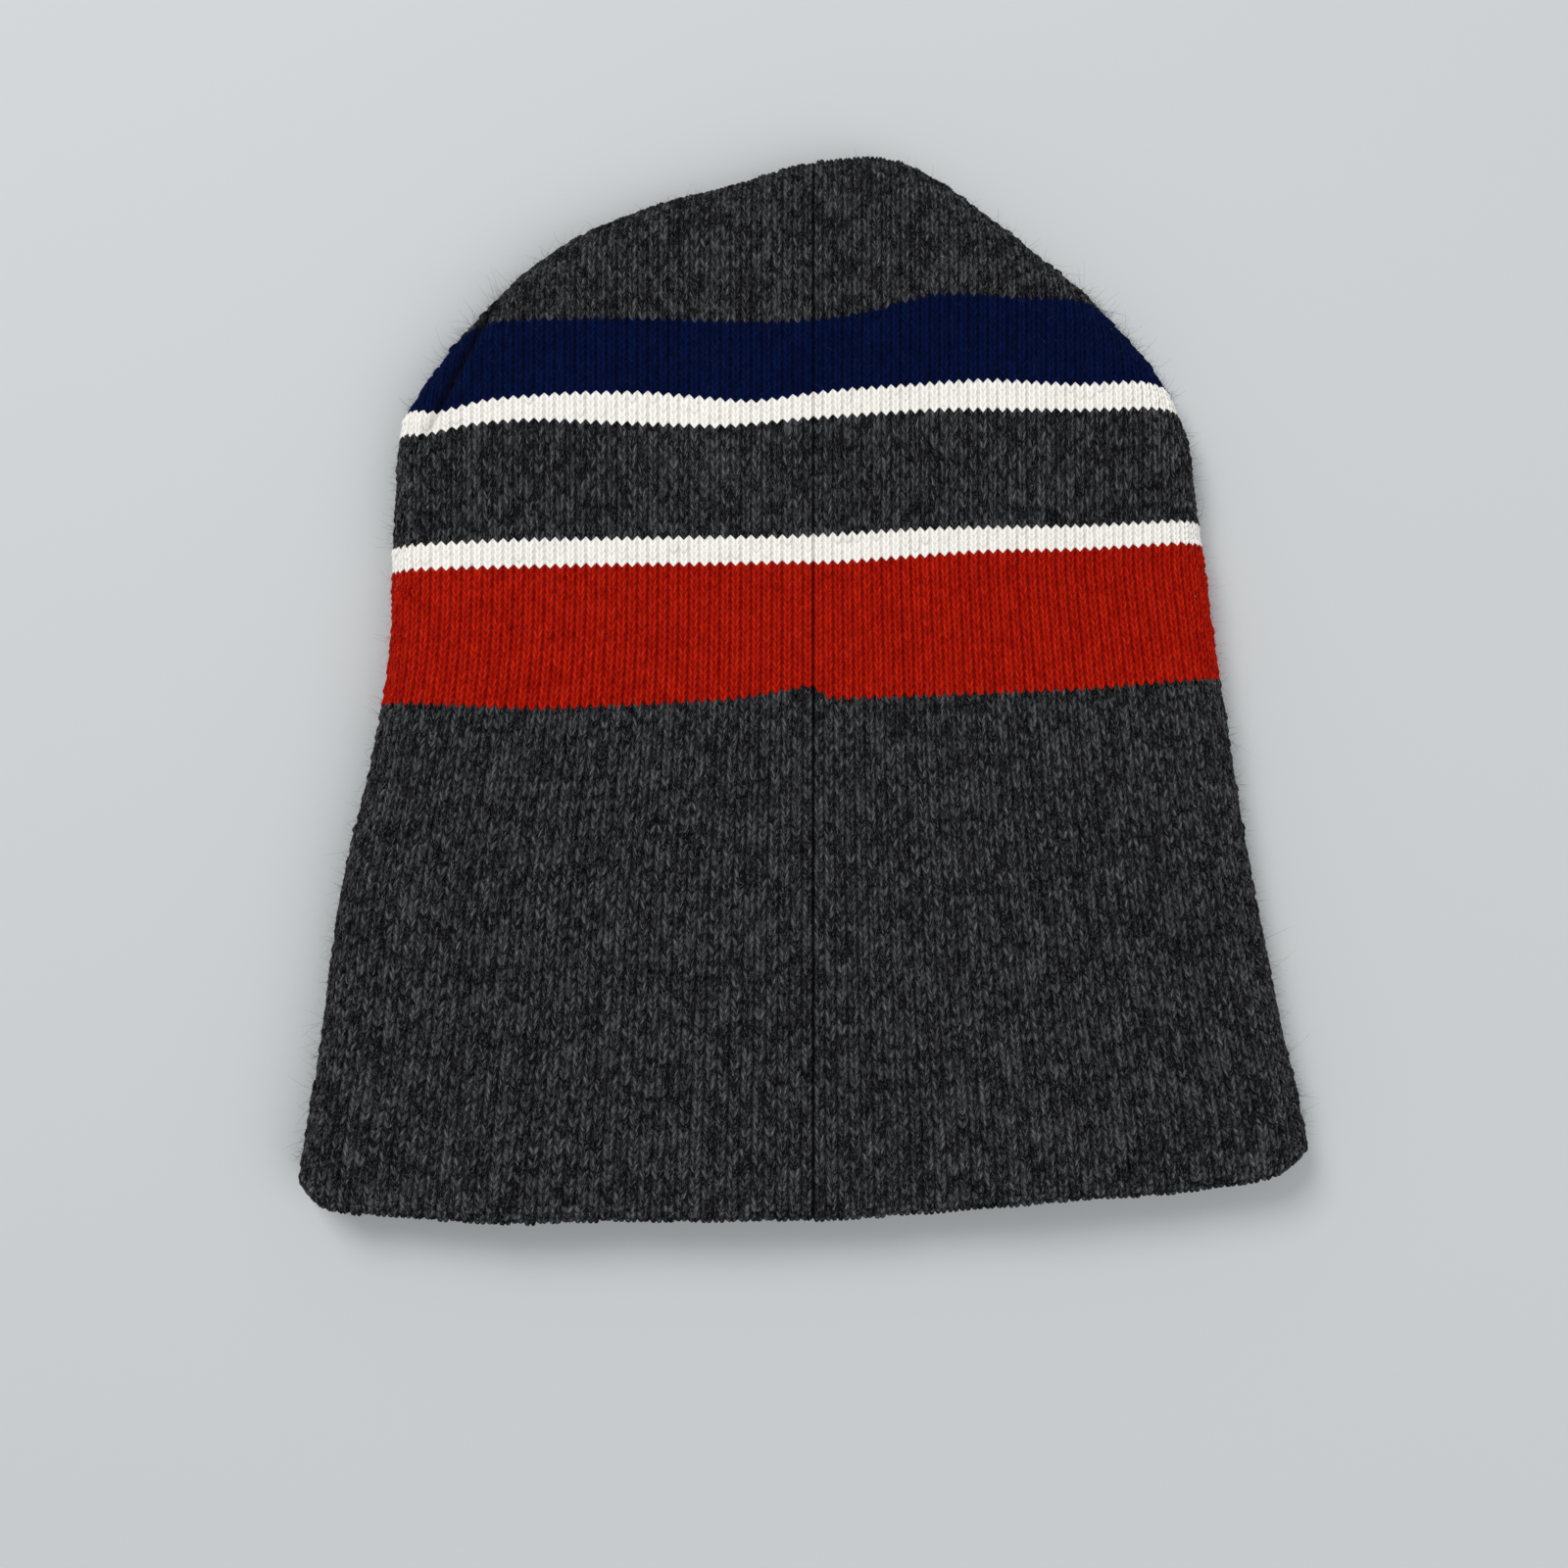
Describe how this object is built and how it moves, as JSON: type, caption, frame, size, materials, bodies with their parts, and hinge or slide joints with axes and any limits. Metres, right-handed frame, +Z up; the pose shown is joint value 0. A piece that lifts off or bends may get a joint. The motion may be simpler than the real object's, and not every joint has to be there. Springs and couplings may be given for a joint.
{
  "type": "knit beanie",
  "caption": "Uncuffed double-layer knit beanie lying flat, back seam up: charcoal with a navy band, white stripes and a red band, closed by a darted crown.",
  "frame": {"origin": "middle of the bounding box at the surface that the hat lies on", "axes": "+X across the hat from left to right, +Y from the mouth to the crown, +Z up out of the back of the hat, with the centre-back seam up"},
  "size_m": [0.224, 0.2352, 0.016],
  "materials": {
    "charcoal_yarn": "heathered charcoal jersey knit, matt and slightly fuzzy",
    "navy_yarn": "deep navy jersey knit, matt and slightly fuzzy",
    "white_yarn": "creamy white jersey knit, matt",
    "red_yarn": "brick red jersey knit, matt and slightly fuzzy",
    "seam_thread": "black polyester sewing thread"
  },
  "bodies": {
    "root": {"lower_body": "charcoal_yarn", "red_band": "red_yarn", "lower_white_stripe": "white_yarn", "charcoal_band": "charcoal_yarn", "upper_white_stripe": "white_yarn", "navy_band": "navy_yarn", "crown": "charcoal_yarn", "mouth_fold": "charcoal_yarn", "lining": "charcoal_yarn", "back_seam_edges": "charcoal_yarn", "lining_seam_edges": "charcoal_yarn", "crown_dart_edges": "charcoal_yarn", "lining_dart_edges": "charcoal_yarn", "seam_stitches": "seam_thread", "crown_tack": "seam_thread"}
  },
  "joints": []
}
